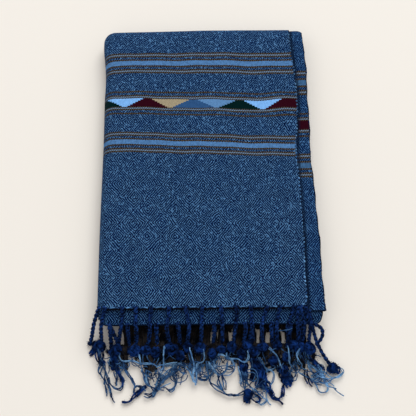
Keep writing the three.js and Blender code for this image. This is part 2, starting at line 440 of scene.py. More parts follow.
def settled(points):
    """Presses the ideal pile into its real, slightly uneven shape."""
    x, y, z = points[..., 0], points[..., 1], points[..., 2]
    # The long sides lie in and out a little, and the back line is lower at the left.
    towards_left, towards_right = smooth(0, LEFT, x), smooth(20, UNDER_SELVEDGE, x)
    x = x + towards_left * (0.6 * smooth(BACK + 5, 120, y) + 0.8 * bump(60, 95, y))
    x = x + towards_left * (0.7 * bump(106, 22, y) - 0.9 * bump(137, 20, y))
    x = x + towards_right * (0.5 * bump(115, 28, y) - 1.3 * bump(32, 55, y))
    y = y - 1.5 * smooth(20, LEFT + 5, x) * smooth(90, BACK, y)
    rise = -RIGHT_SINK * smooth(-30, TOP_SELVEDGE, x)
    for crease in CREASES:
        turn = math.radians(crease.heading)
        dx, dy = x - crease.x, y - crease.y
        onward = (dx * math.cos(turn) + dy * math.sin(turn)) / crease.long
        aside = (-dx * math.sin(turn) + dy * math.cos(turn)) / crease.wide
        rise = rise + crease.rise * np.exp(-(onward**2) - aside**2)
    rise = rise + 0.12 * np.sin(x / 6.1 + y / 17) * np.sin(y / 7.3 - x / 23)
    return np.stack([x, y, z * (1 + rise / HEIGHT)], -1)


def fold_size(y):
    """How far the folds reach out and drop: less towards the end line."""
    full = smooth(TOP_END, FOLD_FULL_Y, y)
    return END_REACH + (FOLD_REACH - END_REACH) * full, END_DROP + (MIDDLE - END_DROP) * full


def folded(x, y, turn_left, turn_back, depth):
    """Points of the cloth under the pile's outer face, carried round the long and back folds."""
    reach, drop = fold_size(y)
    turn = np.maximum(turn_left, turn_back)
    lesser = np.where(turn > 0, np.minimum(turn_left, turn_back) / np.maximum(turn, 1e-9), 0)
    towards_back = np.where(turn_left >= turn_back, lesser / 2, 1 - lesser / 2)
    towards_back = np.where(turn > 0, towards_back, 0)
    heading = towards_back * math.pi / 2
    angle = turn * (LEFT_TURN + (BACK_TURN - LEFT_TURN) * towards_back)
    outward = (reach - depth) * np.sin(angle)
    start = x + (LEFT + reach - BEND_X) * (turn_left > 0)
    z = HEIGHT - drop + (drop - depth) * np.cos(angle)
    return np.stack([start - outward * np.cos(heading), y + outward * np.sin(heading), z], -1)


def cord_drift(x, y):
    """How far the weft lies out of square, which carries the bands up and down a little."""
    slope = np.interp(y, [TOP_END, 45, 80, 117, BACK], [0, -0.036, -0.022, -0.008, 0])
    uptick = 1.7 * smooth(34, 60, x) * bump(80, 25, y)
    return slope * (x + 18) + uptick + 0.25 * np.sin(x / 9 + 1.2) + 0.18 * np.sin(x / 4.3 + y / 11)


FLAP_BACK, FLAP_DROOP = -87, 2.5  # the lower end droops from here to its end line


def droop(y):
    """How far the lower end hangs down."""
    return FLAP_DROOP * smooth(0, FLAP_BACK - LOWER_END, FLAP_BACK - y)


# ------------------------------------------------------------------ meshes


def new_piece(name, points, faces, material, spread=None, edge=None):
    """A mesh object at the origin. points are in millimetres; spread is each point's cloth place."""
    mesh = bpy.data.meshes.new(name)
    mesh.from_pydata((np.asarray(points, float) * MM).tolist(), [], [list(f) for f in faces])
    if spread is not None:
        layer = mesh.uv_layers.new(name=CLOTH_MAP)
        index = np.zeros(len(mesh.loops), np.int32)
        mesh.loops.foreach_get("vertex_index", index)
        layer.data.foreach_set("uv", (np.asarray(spread, float) * MM)[index].astype(np.float32).ravel())
        far = np.full(len(points), 10.0) if edge is None else np.asarray(edge, float)
        held = mesh.attributes.new(EDGE_MAP, "FLOAT", "POINT").data
        held.foreach_set("value", (far * MM).astype(np.float32))
    mesh.shade_smooth()
    mesh.materials.append(material)
    return linked(name, mesh)


def slab_faces(rows, columns):
    """Faces of a closed wall: a grid of points, the same grid on its other side, and the rim."""
    grid = np.arange(rows * columns).reshape(rows, columns)
    other = grid + rows * columns
    a, b, c, d = grid[:-1, :-1], grid[:-1, 1:], grid[1:, 1:], grid[1:, :-1]
    faces = np.stack([a, b, c, d], -1).reshape(-1, 4).tolist()
    a, b, c, d = other[:-1, :-1], other[1:, :-1], other[1:, 1:], other[:-1, 1:]
    faces += np.stack([a, b, c, d], -1).reshape(-1, 4).tolist()
    rim = [*grid[0, :-1], *grid[:-1, -1], *grid[-1, :0:-1], *grid[:0:-1, 0]]
    back = [*other[0, :-1], *other[:-1, -1], *other[-1, :0:-1], *other[:0:-1, 0]]
    for i in range(len(rim)):
        j = (i + 1) % len(rim)
        faces.append([rim[i], back[i], back[j], rim[j]])
    return faces


def grid_shares(front, widest, step):
    """A stretch's rows and columns: shares of its flat part, then of its turn round each fold.

    Rows lie closer at the end line, and columns beside the top layer's selvedge.
    """
    near = np.array([0, 0.5, 1.2, 2.2, 3.5]) / (BEND_Y - front)
    row_flat = np.concatenate([near, np.linspace(near[-1], 1, int((BEND_Y - front) / step))[1:]])
    row_turn = np.concatenate([np.zeros(len(row_flat)), np.linspace(0, 1, BACK_STEPS + 1)[1:]])
    row_flat = np.concatenate([row_flat, np.ones(BACK_STEPS)])
    beside_top = (TOP_SELVEDGE + np.array([-1, 0.1, 0.6, 1.1, 1.7, 2.4]) - BEND_X) / (widest - BEND_X)
    column_flat = np.linspace(0, 1, int((widest - BEND_X) / step))
    column_flat = np.union1d(column_flat, beside_top[beside_top < 1])
    column_turn = np.concatenate([np.linspace(1, 0, LEFT_STEPS + 1)[:-1], np.zeros(len(column_flat))])
    column_flat = np.concatenate([np.zeros(LEFT_STEPS), column_flat])
    return row_flat[:, None], row_turn[:, None], column_flat[None, :], column_turn[None, :]


def stretch(name, depth, selvedge, end_line, bands, material, corner, step, strip=False, sag=False):
    """One stretch of cloth, from its selvedge round the long fold and from its end line round the back.

    selvedge gives x for an array of y, end_line gives y for an array of x, and bands gives how far
    the woven bands lie out of square. corner is the radius of the front corner, and step the grid's.
    strip shapes the back corner, and sag lets the end droop.
    """
    front = float(end_line(np.array(0.0)))
    widest = float(np.max(selvedge(np.linspace(TOP_END, BEND_Y, 50))))
    row_flat, row_turn, column_flat, column_turn = grid_shares(front, widest, step)
    front_line = end_line(BEND_X + (widest - BEND_X) * column_flat) + END_CURL * column_turn**1.5
    y = front_line + (BEND_Y - front_line) * row_flat
    drawn_in = corner - np.sqrt(corner**2 - np.clip(corner - (y - front_line), 0, corner) ** 2)
    x = BEND_X + (selvedge(y) - drawn_in + selvedge_waves(y) - BEND_X) * column_flat
    walls = [settled(folded(x, y, column_turn, row_turn, depth + part)) for part in (0, CLOTH)]
    from_top = np.abs(x - top_selvedge(y) - 0.7) if depth else np.full(x.shape, 20.0)
    walls[0][..., 2] -= GROOVE * (1 - smooth(*GROOVE_EDGE, from_top)) * (row_turn == 0)
    for points in walls:
        if sag:
            points[..., 2] -= droop(points[..., 1])
        if strip:
            points[..., 1] += strip_back(points[..., 0]) * smooth(BEND_Y, BACK, points[..., 1])

    reach, drop = fold_size(y)
    flat_part = (BEND_X - LEFT - reach) * (column_turn > 0)  # of the cloth beyond the grid's bend
    round_left = column_turn * LEFT_TURN * (reach + drop) / 2 + flat_part
    round_back = row_turn * BACK_TURN * (FOLD_REACH + MIDDLE) / 2
    across = selvedge(y) - x + round_left
    along = y - bands(x, y) + round_back
    spread = np.stack([across + 0 * y, along + 0 * x], -1).reshape(-1, 2)
    # The nearest edge that shows: the selvedge, the end line, or the top layer's selvedge above. The cloth
    # takes painted shade by this distance.
    edge = np.minimum(np.maximum(across, 0), y - front_line + 20 * row_turn)
    edge = np.minimum(edge, 0.2 * from_top + 0.47).ravel()
    points = np.concatenate([wall.reshape(-1, 3) for wall in walls])
    faces = slab_faces(row_flat.shape[0], column_flat.shape[1])
    return new_piece(name, points, faces, material, np.tile(spread, (2, 1)), np.tile(edge, 2))


CORNER = 6.5  # radius of the top end's front corner


def selvedge_waves(y):
    """The small waves of a handwoven selvedge."""
    return 0.3 * np.sin(y / 7.7) + 0.25 * np.sin(y / 2.9 + 1)


def top_selvedge(y):
    drawn = 0.9 - 0.9 * smooth(-15, 60, y) - 2.2 * smooth(95, BACK, y)
    return TOP_SELVEDGE + drawn + 1.3 * bump(78, 42, y) + 0.6 * bump(84, 20, y)


def under_selvedge(y):
    drawn = 0.8 * smooth(BEND_Y - 2, BEND_Y + 2, y)
    return UNDER_SELVEDGE - STRIP_NARROWS * (y - UNDER_END) / (BEND_Y - UNDER_END) - drawn


def lower_selvedge(y):
    flare = 1.6 * bump(TOP_END - 3, 9, y)
    return LOWER_SELVEDGE - 0.6 - STRIP_NARROWS * (y - LOWER_END) / (BEND_Y - LOWER_END) + flare


def strip_back(x):
    """How far back the strip beside the top layer reaches: a little more, and less at its corner."""
    corner = float(under_selvedge(np.array(float(BACK))))
    return 1.1 * smooth(TOP_SELVEDGE - 4, TOP_SELVEDGE, x) - 2.0 * smooth(corner - 3, corner + 0.3, x) ** 2


def under_bands(x, y):
    """The strip's bands lie nearer the fringe than the top layer's."""
    return 0.9 * smooth(75, 95, y) - UNDER_SHIFT


def top_end(x):
    return TOP_END + 0 * x


def under_end(x):
    """The under layer's end line shows only beyond the top layer's selvedge, further forward."""
    return TOP_END + 0.5 + (UNDER_END - TOP_END - 0.5) * smooth(TOP_SELVEDGE - 9, TOP_SELVEDGE + 1, x)


def lower_end(x):
    return LOWER_END + 0 * x


top_cloth = stretch(
    "top_cloth", 0, top_selvedge, top_end, cord_drift, top_weave, corner=CORNER, step=1.5
)
under_cloth = stretch(
    "under_cloth", LAYER, under_selvedge, under_end, under_bands, banded_weave, corner=1, step=1.8, strip=True
)
lower_cloth = stretch(
    "lower_cloth", 2 * LAYER, lower_selvedge, lower_end, cord_drift, plain_weave, corner=3, step=1.8, sag=True
)


# ------------------------------------------------------------------ the hidden layers' edges

PAIRS = 6  # folded pairs under the three stretches that show
CORE_HEIGHT = core_high.z
# How far each hidden pair's weave lies from the next one's, and the front folds' from the top's.
PAIR_SHIFT, FRONT_SHIFT = 40, 150


def folded_pair(level, height, left, right_upper, right_lower, back):
    """Points of one doubled layer: a round fold at the left and two selvedges at the right."""
    ys = np.linspace(core_low.y + 1.5, back, 90)
    rounding = np.linspace(90, 270, 11)
    rows = []
    for y in ys:
        sway = 0.35 * math.sin(y / 13 + level) + 0.2 * math.sin(y / 5.1 + 2 * level)
        upper = right_upper - 0.018 * (y - core_low.y) + 0.5 * math.sin(y / 9 + 3 * level)
        under = right_lower - 0.018 * (y - core_low.y) + 0.5 * math.cos(y / 8 + 5 * level)
        ring = []
        for turn in np.radians(rounding):
            edge = left(y) + sway + height / 2
            ring.append((edge + height / 2 * math.cos(turn), level + height / 2 * (1 + math.sin(turn))))
        quarter, gap = height / 4, 0.12
        for side, middle in ((under, level + quarter), (upper, level + 3 * quarter)):
            for turn in np.radians([-80, -30, 30, 80]):
                lift = (quarter - gap) * math.sin(turn)
                ring.append((side + 0.5 * math.cos(turn), middle + lift))
            if middle < level + height / 2:
                ring.append((side - 3.5, level + height / 2))
        rows.append([(x, y, z) for x, z in ring])
    return np.array(rows)


def loft_faces(count, size, start):
    """Faces of a closed tube through a count of rings of points, with both ends capped."""
    faces = []
    for k in range(count - 1):
        for i in range(size):
            j = (i + 1) % size
            here, there = start + k * size, start + (k + 1) * size
            faces.append([here + i, there + i, there + j, here + j])
    faces.append([start + i for i in range(size)])
    faces.append([start + (count - 1) * size + i for i in reversed(range(size))])
    return faces


def hidden_layers():
    """The pile's hidden layers: folded pairs that stop short of the top cloth's back fold."""
    points, faces, spread = [], [], []
    height = CORE_HEIGHT / PAIRS
    lip_back, lip_end = MIDDLE - 1.8, HEIGHT - END_DROP - 1.2
    for pair in range(PAIRS):
        level = pair * height
        inset = float(rng.uniform(0.6, 2.2))

        def left(y, level=level, inset=inset):
            """Pairs level with the long fold of the cloth that shows lie further in, behind it."""
            lip = lip_end + (lip_back - lip_end) * float(smooth(TOP_END, FOLD_FULL_Y, y))
            hidden = float(smooth(lip - height, lip - 0.6 * height, level))
            return LEFT + inset + 4.6 * hidden

        right = core_high.x + float(rng.uniform(-2.5, 0.5))
        back = BEND_Y - 1 if level < HEIGHT / 2 else BEND_Y
        rings = folded_pair(level, height, left, right, right + float(rng.uniform(-1.2, 1.2)), back)
        faces += loft_faces(len(rings), rings.shape[1], len(points))
        points += settled(rings).reshape(-1, 3).tolist()
        section = rings[:, :, [0, 2]]
        steps = np.linalg.norm(np.diff(section, axis=1, prepend=section[:, -1:]), axis=2)
        place = np.stack([np.cumsum(steps, axis=1), rings[..., 1] - PAIR_SHIFT * pair], -1)
        spread += place.reshape(-1, 2).tolist()
    return new_piece("hidden_layers", points, faces, plain_weave, spread)


def front_folds():
    """The two crosswise folds at the front, under the fringe: a thick one, and a thin one on it."""
    points, faces, spread = [], [], []
    for low, high, reach in ((0.02, 10.0, 3.6), (10.1, CORE_HEIGHT - 0.05, 2.0)):
        columns = np.linspace(LEFT + 2.4, core_high.x - 0.5, 110)
        turns = np.radians(np.linspace(-90, 90, 15))
        middle, half = (low + high) / 2, (high - low) / 2
        rows = []
        for turn in turns:
            wave = 0.6 * np.sin(columns / 11 + low) + 0.4 * np.sin(columns / 4.7)
            ends = np.sqrt(np.clip(1 - ((columns - columns.mean()) / (np.ptp(columns) / 2)) ** 16, 0, 1))
            y = core_low.y + 1.8 - (reach + wave) * math.cos(turn) * ends
            z = middle + half * math.sin(turn) + 0 * columns
            rows.append(np.stack([columns, y, z], -1))
        face = np.array(rows)
        inner = face.copy()
        inner[..., 1] += 1.2
        start = len(points)
        points += np.concatenate([face.reshape(-1, 3), inner.reshape(-1, 3)]).tolist()
        faces += [[start + i for i in f] for f in slab_faces(len(turns), len(columns))]
        arc = np.broadcast_to(turns[:, None] * half, face.shape[:2])
        place = np.stack([np.broadcast_to(columns, face.shape[:2]), arc - FRONT_SHIFT], -1).reshape(-1, 2)
        spread += np.concatenate([place, place]).tolist()
    return new_piece("front_folds", settled(np.array(points)), faces, plain_weave, spread)


hidden = hidden_layers()
front = front_folds()


# ------------------------------------------------------------------ geometry trees


class Tree(Nodes):
    """A Geometry Nodes tree under construction, with named inputs for its sizes."""

    def __init__(self, name, sizes):
        super().__init__(bpy.data.node_groups.new(name, "GeometryNodeTree"))
        face = self.tree.interface
        face.new_socket("Geometry", in_out="INPUT", socket_type="NodeSocketGeometry")
        face.new_socket("Geometry", in_out="OUTPUT", socket_type="NodeSocketGeometry")
        face.new_socket("Material", in_out="INPUT", socket_type="NodeSocketMaterial")
        for label, start in sizes.items():
            kind = "NodeSocketInt" if isinstance(start, int) else "NodeSocketFloat"
            face.new_socket(label, in_out="INPUT", socket_type=kind).default_value = start
        self.source = self.node("NodeGroupInput", {})

    def size(self, label):
        return self.source.beside(label)

    def vector(self, operation, *values):
        return self.node("ShaderNodeVectorMath", {"operation": operation}, values)

    def varied(self, low, high):
        """A random size for each instance."""
        return self.node("FunctionNodeRandomValue", {"data_type": "FLOAT"}, {2: low, 3: high}, 1)

    def paths(self, spacing=None):
        """The source's chains of edges as curves, resampled to even steps if a spacing is given."""
        path = self.node("GeometryNodeMeshToCurve", {}, [self.source])
        if not spacing:
            return path
        values = {0: path, "Length": self.size(spacing)}
        return self.node("GeometryNodeResampleCurve", {"mode": "LENGTH"}, values)

    def moved(self, path, offset, girth):
        """A path moved by an offset, with the girth that its section is swept at."""
        path = self.node("GeometryNodeSetPosition", {}, {0: path, "Offset": offset})
        return self.node("GeometryNodeSetCurveRadius", {}, {0: path, "Radius": girth})

    def girth(self):
        return self.node("GeometryNodeInputNamedAttribute", {"data_type": "FLOAT"}, {"Name": "girth"})

    def swept(self, path, radius, sides):
        """A capped tube along each path."""
        values = {"Resolution": sides, "Radius": self.size(radius)}
        section = self.node("GeometryNodeCurvePrimitiveCircle", {}, values)
        values = {"Curve": path, "Profile Curve": section, "Fill Caps": True}
        return self.node("GeometryNodeCurveToMesh", {}, values)

    def close(self, geometry):
        """Ends the tree: real geometry, with its material."""
        real = self.node("GeometryNodeRealizeInstances", {}, [geometry])
        soft = self.node("GeometryNodeSetShadeSmooth", {}, [real])
        dressed = self.node("GeometryNodeSetMaterial", {}, {0: soft, "Material": self.size("Material")})
        self.node("NodeGroupOutput", {}, [dressed])
        return self.tree


def grown(name, source, tree, sizes):
    """Runs a tree on an object and keeps the result as a plain mesh piece."""
    modifier = source.modifiers.new("grow", "NODES")
    modifier.node_group = tree
    for socket in tree.interface.items_tree:
        if socket.in_out == "INPUT" and socket.name in sizes:
            modifier[socket.identifier] = sizes[socket.name]
    evaluated = source.evaluated_get(bpy.context.evaluated_depsgraph_get())
    mesh = bpy.data.meshes.new_from_object(evaluated)
    mesh.name = name
    at = np.zeros(3 * len(mesh.vertices), np.float32)
    mesh.vertices.foreach_get("co", at)
    at[2::3] = np.maximum(at[2::3], 0.05 * MM)  # nothing sinks into the table
    mesh.vertices.foreach_set("co", at)
    bpy.data.objects.remove(source)
    return linked(name, mesh)


def twisted_cord_tree():
    """Two plies wound round each path. A path's girth attribute thins or thickens them."""
    tree = Tree("twisted_cord", {"Ply Radius": 0.001, "Lay": 0.006, "Step": 0.0006})
    path, girth = tree.paths("Step"), tree.girth()
    run = tree.node("GeometryNodeSplineParameter", {}, (), 1)
    turns = run / tree.size("Lay") * (2 * math.pi)
    normal, tangent = tree.node("GeometryNodeInputNormal", {}), tree.node("GeometryNodeInputTangent", {})
    aside = tree.vector("CROSS_PRODUCT", tangent, normal)
    out = tree.size("Ply Radius") * girth * 0.6
    plies = []
    for phase in (0, math.pi):
        angle = turns + phase
        along_normal = tree.scaled(normal, angle.math("COSINE"))
        push = tree.vector("ADD", along_normal, tree.scaled(aside, angle.math("SINE")))
        plies.append(tree.moved(path, tree.scaled(push, out), girth))
    both = tree.node("GeometryNodeJoinGeometry", {}, {0: plies})
    return tree.close(tree.swept(both, "Ply Radius", 6))


def yarn_tree():
    """One crimped yarn along each path."""
    tree = Tree("crimped_yarn", {"Radius": 0.0004, "Crimp": 0.0004, "Step": 0.0007})
    path = tree.paths("Step")
    wander = tree.node("ShaderNodeTexNoise", {}, {"Scale": 240.0, "Detail": 1.0}, 1)
    centred = tree.vector("SUBTRACT", wander, (0.5, 0.5, 0.5))
    path = tree.moved(path, tree.scaled(centred, tree.size("Crimp") * 4.0), tree.girth())
    return tree.close(tree.swept(path, "Radius", 6))


def fuzz_tree():
    """Fine stray fibres standing out of the faces of a piece of yarn."""
    sizes = {"Hair Length": 0.002, "Hair Radius": 0.0001, "Density": 100000.0, "Seed": 3}
    tree = Tree("stray_fibres", sizes)
    values = {0: tree.source, "Density": tree.size("Density"), "Seed": tree.size("Seed")}
    scatter = tree.node("GeometryNodeDistributePointsOnFaces", {"distribute_method": "RANDOM"}, values)
    length = tree.size("Hair Length")
    bend = tree.node("ShaderNodeCombineXYZ", {}, {0: length * 0.35, 2: length * 0.5})
    tip = tree.node("ShaderNodeCombineXYZ", {}, {1: length * 0.5, 2: length * 0.8})
    values = {"Resolution": 3, "Start": (0.0, 0.0, 0.0), "Middle": bend, "End": tip}
    hair = tree.swept(tree.node("GeometryNodeCurveQuadraticBezier", {}, values), "Hair Radius", 3)
    values = {0: (-0.9, -0.9, -3.1), 1: (0.9, 0.9, 3.1)}
    spin = tree.node("FunctionNodeRandomValue", {"data_type": "FLOAT_VECTOR"}, values)
    values = [scatter.beside("Rotation"), spin]
    turned = tree.node("FunctionNodeRotateRotation", {"rotation_space": "LOCAL"}, values)
    values = {0: scatter, "Instance": hair, "Rotation": turned, "Scale": tree.varied(0.5, 1.4)}
    hairs = tree.node("GeometryNodeInstanceOnPoints", {}, values)
    return tree.close(tree.node("GeometryNodeJoinGeometry", {}, {0: [tree.source, hairs]}))


def loop_tree():
    """Small beads of yarn at even steps along each path, as at a selvedge."""
    tree = Tree("edge_loops", {"Pitch": 0.0036, "Long": 0.0012, "Thick": 0.0006})
    values = {0: tree.paths(), "Length": tree.size("Pitch")}
    spots = tree.node("GeometryNodeCurveToPoints", {"mode": "LENGTH"}, values)
    bead = tree.node("GeometryNodeMeshUVSphere", {}, {"Segments": 8, "Rings": 6, "Radius": 1.0})
    thick = tree.size("Thick")
    size = tree.node("ShaderNodeCombineXYZ", {}, [thick, thick, tree.size("Long")])
    values = {0: spots, "Instance": bead, "Rotation": spots.beside("Rotation")}
    values["Scale"] = tree.scaled(size, tree.varied(0.45, 1.2))
    return tree.close(tree.node("GeometryNodeInstanceOnPoints", {}, values))


cord_tree, thread_tree, fibre_tree, bead_tree = twisted_cord_tree(), yarn_tree(), fuzz_tree(), loop_tree()


def smooth_path(stops, step=1.0):
    """Points about step apart on a smooth curve through the stops."""
    stops = np.asarray(stops, float)
    padded = np.concatenate([[2 * stops[0] - stops[1]], stops, [2 * stops[-1] - stops[-2]]])
    curve = []
    for p, q, r, s in zip(padded, padded[1:], padded[2:], padded[3:]):
        count = max(2, int(np.linalg.norm(r - q) / step))
        square, cube = 2 * p - 5 * q + 4 * r - s, 3 * q - p - 3 * r + s
        for t in np.arange(count) / count:
            curve.append(0.5 * (2 * q + (r - p) * t + square * t**2 + cube * t**3))
    return np.array([*curve, stops[-1]])


def laid_path(route):
    """A smooth path through stops in plan, on the table."""
    return smooth_path([(x, y, 0.0) for x, y in route], FINE_STEP)


def paths_object(paths, girths):
    """An object that holds paths as chains of edges, with each point's girth."""
    mesh = bpy.data.meshes.new("paths")
    points, edges, girth = [], [], []
    for path, size in zip(paths, girths):
        start = len(points)
        points += path.tolist()
        edges += [(start + i, start + i + 1) for i in range(len(path) - 1)]
        girth += (np.ones(len(path)) * size).tolist()
    mesh.from_pydata((np.array(points) * MM).tolist(), edges, [])
    mesh.attributes.new("girth", "FLOAT", "POINT").data.foreach_set("value", girth)
    return linked("paths", mesh)


# ------------------------------------------------------------------ the fringe

PLY_RADIUS = 0.95
CORD_RADIUS = 1.6 * PLY_RADIUS
GAP_Y = -99  # just below the lower end line, where the cords hang over an empty space
FINE_STEP = 0.8  # between the points of a loose yarn's path, and between the strands of a dark mass


def hang(x, y, lift):
    """The height of a cord's middle: on the cloth, over the lower end line, then down to the table."""
    foot, edge = LOWER_END - 12, LOWER_END + 0.5
    sunk = RIGHT_SINK * float(smooth(-30, TOP_SELVEDGE, x))
    cloth = HEIGHT - 2 * LAYER - sunk + lift
    if y > edge:
        step_up = float(smooth(TOP_END - 3.5, TOP_END + 0.5, y)) * (2 * LAYER - 0.5 * lift)
        return cloth + step_up - float(droop(y))
    return lift + (cloth - FLAP_DROOP - lift) * float(smooth(foot, edge, y)) ** 0.8


# Cords of each end: x where each leaves its end line and where it passes below the lower one, and
# its knot's place in plan and radius.
Cord = namedtuple("Cord", "x past knot size")
TOP_CORDS = (
    Cord(-81.5, -86.0, (-88.8, -106), 2.0),
    Cord(-77.5, -80.2, (-81.5, -108.4), 4.1),
    Cord(-65.2, -66.0, (-69.6, -111.2), 4.5),
    Cord(-55.5, -55.3, (-56.5, -112.5), 4.4),
    Cord(-44.5, -45.6, (-49.0, -112.5), 4.2),
    Cord(-32.0, -33.5, (-31.0, -111.5), 4.5),
    Cord(-20.0, -17.8, (-19.0, -110), 3.8),
    Cord(-8.0, -9.3, (-10.0, -111), 4.0),
    Cord(4.5, 6.3, (5.0, -112), 3.8),
    Cord(16.0, 15.5, (12.5, -110.5), 4.1),
    Cord(26.0, 27.2, (23.5, -109.5), 4.1),
    Cord(37.5, 33.9, (34.5, -111), 4.1),
    Cord(47.5, 43.9, (45.0, -109.5), 4.4),
    Cord(57.0, 52.0, (55.5, -109.5), 4.2),
    Cord(59.5, 59.8, (60.0, -110), 3.0),
    Cord(61.8, 64.2, (62.5, -111), 3.6),
    Cord(65.5, 68.0, (67.8, -112.3), 4.9),
)
LOWER_CORDS = (
    Cord(-75.0, -74.4, (-73.0, -112.3), 3.0),
    Cord(-74.8, -73.3, (-68.0, -107.8), 1.5),
    Cord(-61.5, -61.0, (-60.5, -112), 2.4),
    Cord(-40.5, -41.0, (-41.8, -113.5), 4.0),
    Cord(-26.0, -25.4, (-24.5, -116.5), 3.8),
    Cord(-0.5, -0.1, (-1.7, -115), 3.7),
    Cord(22.0, 22.6, (19.0, -115.5), 3.2),
    Cord(27.0, 27.4, (28.0, -114), 3.8),
    Cord(41.5, 41.0, (41.5, -121), 3.6),
    Cord(54.5, 54.0, (51.0, -118), 3.4),
    Cord(61.0, 60.9, (60.4, -112.5), 3.8),
)


def cord_path(cord, start_y, lift):
    """A cord from its end line, over what lies under it, to its knot."""
    knot_x, knot_y = cord.knot
    stops = []
    for y in np.linspace(start_y, knot_y, 9):
        x = float(np.interp(-y, (-start_y, -GAP_Y, -knot_y), (cord.x, cord.past, knot_x)))
        stops.append((x + 0.35 * math.sin(cord.x * 1.7 + y / 3.5), y, hang(x, y, lift)))
    return smooth_path(stops)


def knot_turns(tied):
    """The turns of yarn that make up one knot: rings of all headings on a ball, and a core."""
    size = tied.size
    middle = np.array([*tied.knot, size + 0.2])
    uneven = (1 + 0.2 * math.sin(5 * middle[0]), 1 + 0.18 * math.sin(3 * middle[0] + 1), 0.85)
    turns = []
    for k in range(10):
        axis = rng.normal(0, 1, 3)
        axis /= np.linalg.norm(axis)
        side = np.cross(axis, (0.36, 0.48, 0.8))
        side /= np.linalg.norm(side)
        other = np.cross(axis, side)
        around = np.linspace(0, rng.uniform(4.6, 6.6), 17)[:, None]
        offset = rng.uniform(-0.6, 0.6)
        reach = (size - 0.8) * (0.45 if k > 7 else rng.uniform(0.88, 1.06))
        ring = math.sqrt(1 - offset**2) * (np.cos(around) * side + np.sin(around) * other) + offset * axis
        turns.append(smooth_path(middle + reach * ring * uneven))
    return turns


# Where bare table shows between the ends of the fringe: a middle and a half width in plan.
OPENINGS = ((-21, -118.5, 2.2), (6.4, -122.5, 5.0), (-60, -117.5, 3.0), (-57, -125, 5.0), (-77.5, -116, 2.5))


def in_opening(x, y):
    return any(math.hypot(x - mx, y - my) < half for mx, my, half in OPENINGS)


def tails(tied, count, longest):
    """Yarn ends that spread out of a knot and fall on the table."""
    ends = []
    for _ in range(count):
        start = np.array([*tied.knot, 0.9 * tied.size])
        start += rng.normal(0, 0.4 * tied.size, 3) * (1, 0.4, 0.4)
        length = rng.uniform(0.45, 1.0) * longest
        heading = -math.pi / 2 + rng.normal(0, 0.4)
        curl = rng.normal(0, 0.12)
        stops = [start]
        for share in (0.25, 0.5, 0.75, 1.0):
            heading += curl * length / 4 + rng.normal(0, 0.35)
            step = np.array([math.cos(heading), math.sin(heading), 0]) * length / 4
            point = stops[-1] + step
            point[2] = start[2] * (1 - share) ** 1.5 + 0.6 + 1.6 * rng.random()
            stops.append(point)
        if not any(in_opening(*point[:2]) for point in stops[2:]):
            ends.append(smooth_path(stops, FINE_STEP))
    return ends


def tapered(paths, thick, thin):
    return [thick + (thin - thick) * np.linspace(0, 1, len(p)) ** 2 for p in paths]


def threads(name, paths, girths, material, radius, crimp, step):
    """Plain yarn swept along its paths."""
    sizes = {"Radius": radius * MM, "Crimp": crimp * MM, "Step": step * MM, "Material": material}
    return grown(name, paths_object(paths, girths), thread_tree, sizes)


def fuzzy(name, body, material, length, hairs, seed):
    """A piece of yarn with stray fibres added, so many to the square metre."""
    sizes = {"Hair Length": length * MM, "Hair Radius": 0.06 * MM, "Density": hairs, "Seed": seed}
    return grown(name, body, fibre_tree, {**sizes, "Material": material})


def spun(name, paths, girths, material, radius, crimp, hairs, seed):
    """Yarn swept along its paths, with stray fibres."""
    body = threads(name, paths, girths, material, radius, crimp, step=0.75)
    return fuzzy(name, body, material, length=1.6, hairs=hairs, seed=seed)


def knots(name, tied, seed):
    paths = [turn for one in tied for turn in knot_turns(one)]
    girths = [1.0 for _ in paths]
    return spun(name, paths, girths, navy_wool, radius=0.85, crimp=0.3, hairs=220000.0, seed=seed)


def knot_ends(name, tied, count, seed):
    """The short yarn ends below the knots, in near-black wool that paints the shade between the knots."""
    paths = [end for one in tied for end in tails(one, count, 2.1 * one.size)]
    girths = tapered(paths, 0.9, 0.5)
    return spun(name, paths, girths, shade_dark_wool, radius=0.7, crimp=0.35, hairs=160000.0, seed=seed)


def cords(name, rows, start_y, lift, extra):
    """Twisted cords, thicker where they leave the end line, and thinner ones that stray."""
    paths = [cord_path(cord, start_y, lift) for cord in rows] + [smooth_path(stops) for stops in extra]
    girths = [1.45 - 0.3 * np.minimum(np.linspace(0, 2, len(p)), 1) for p in paths[: len(rows)]]
    girths += [np.full(len(p), 0.9) for p in paths[len(rows) :]]
    sizes = {"Ply Radius": PLY_RADIUS * MM, "Lay": 6.5 * MM, "Step": 0.65 * MM, "Material": cord_wool}
    body = grown(name, paths_object(paths, girths), cord_tree, sizes)
    return fuzzy(name, body, cord_wool, length=1.1, hairs=130000.0, seed=5)


# Stops of the cords that stray at the right corner, and of a thread that lies across the cords.
STRAY_RIGHT_CORD = (
    (67.5, -88, 19.2), (69, -96.5, 16.5), (70.5, -101, 11.5), (73, -107.5, 6), (77, -115.5, 3), (82, -124, 3),
)
CORNER_LOOP = (
    (69.5, -96.8, 14.5), (73, -97.8, 13.2), (76.5, -99.8, 11), (77.3, -103, 8.5), (76, -106.3, 6.5),
    (72.5, -110, 5),
)
STRAY_THREAD = ((45, -102.6, 17), (48.5, -102.8, 17), (52, -102.2, 17.2), (55, -101.4, 17.5))
Knot = namedtuple("Knot", "knot size")
LOOSE_KNOTS = (
    Knot((83.5, -126.7), 4.0),
    Knot((-85.6, -106.5), 2.3),
    Knot((-80.0, -120.3), 2.4),
    Knot((23.2, -144.2), 3.4),
)

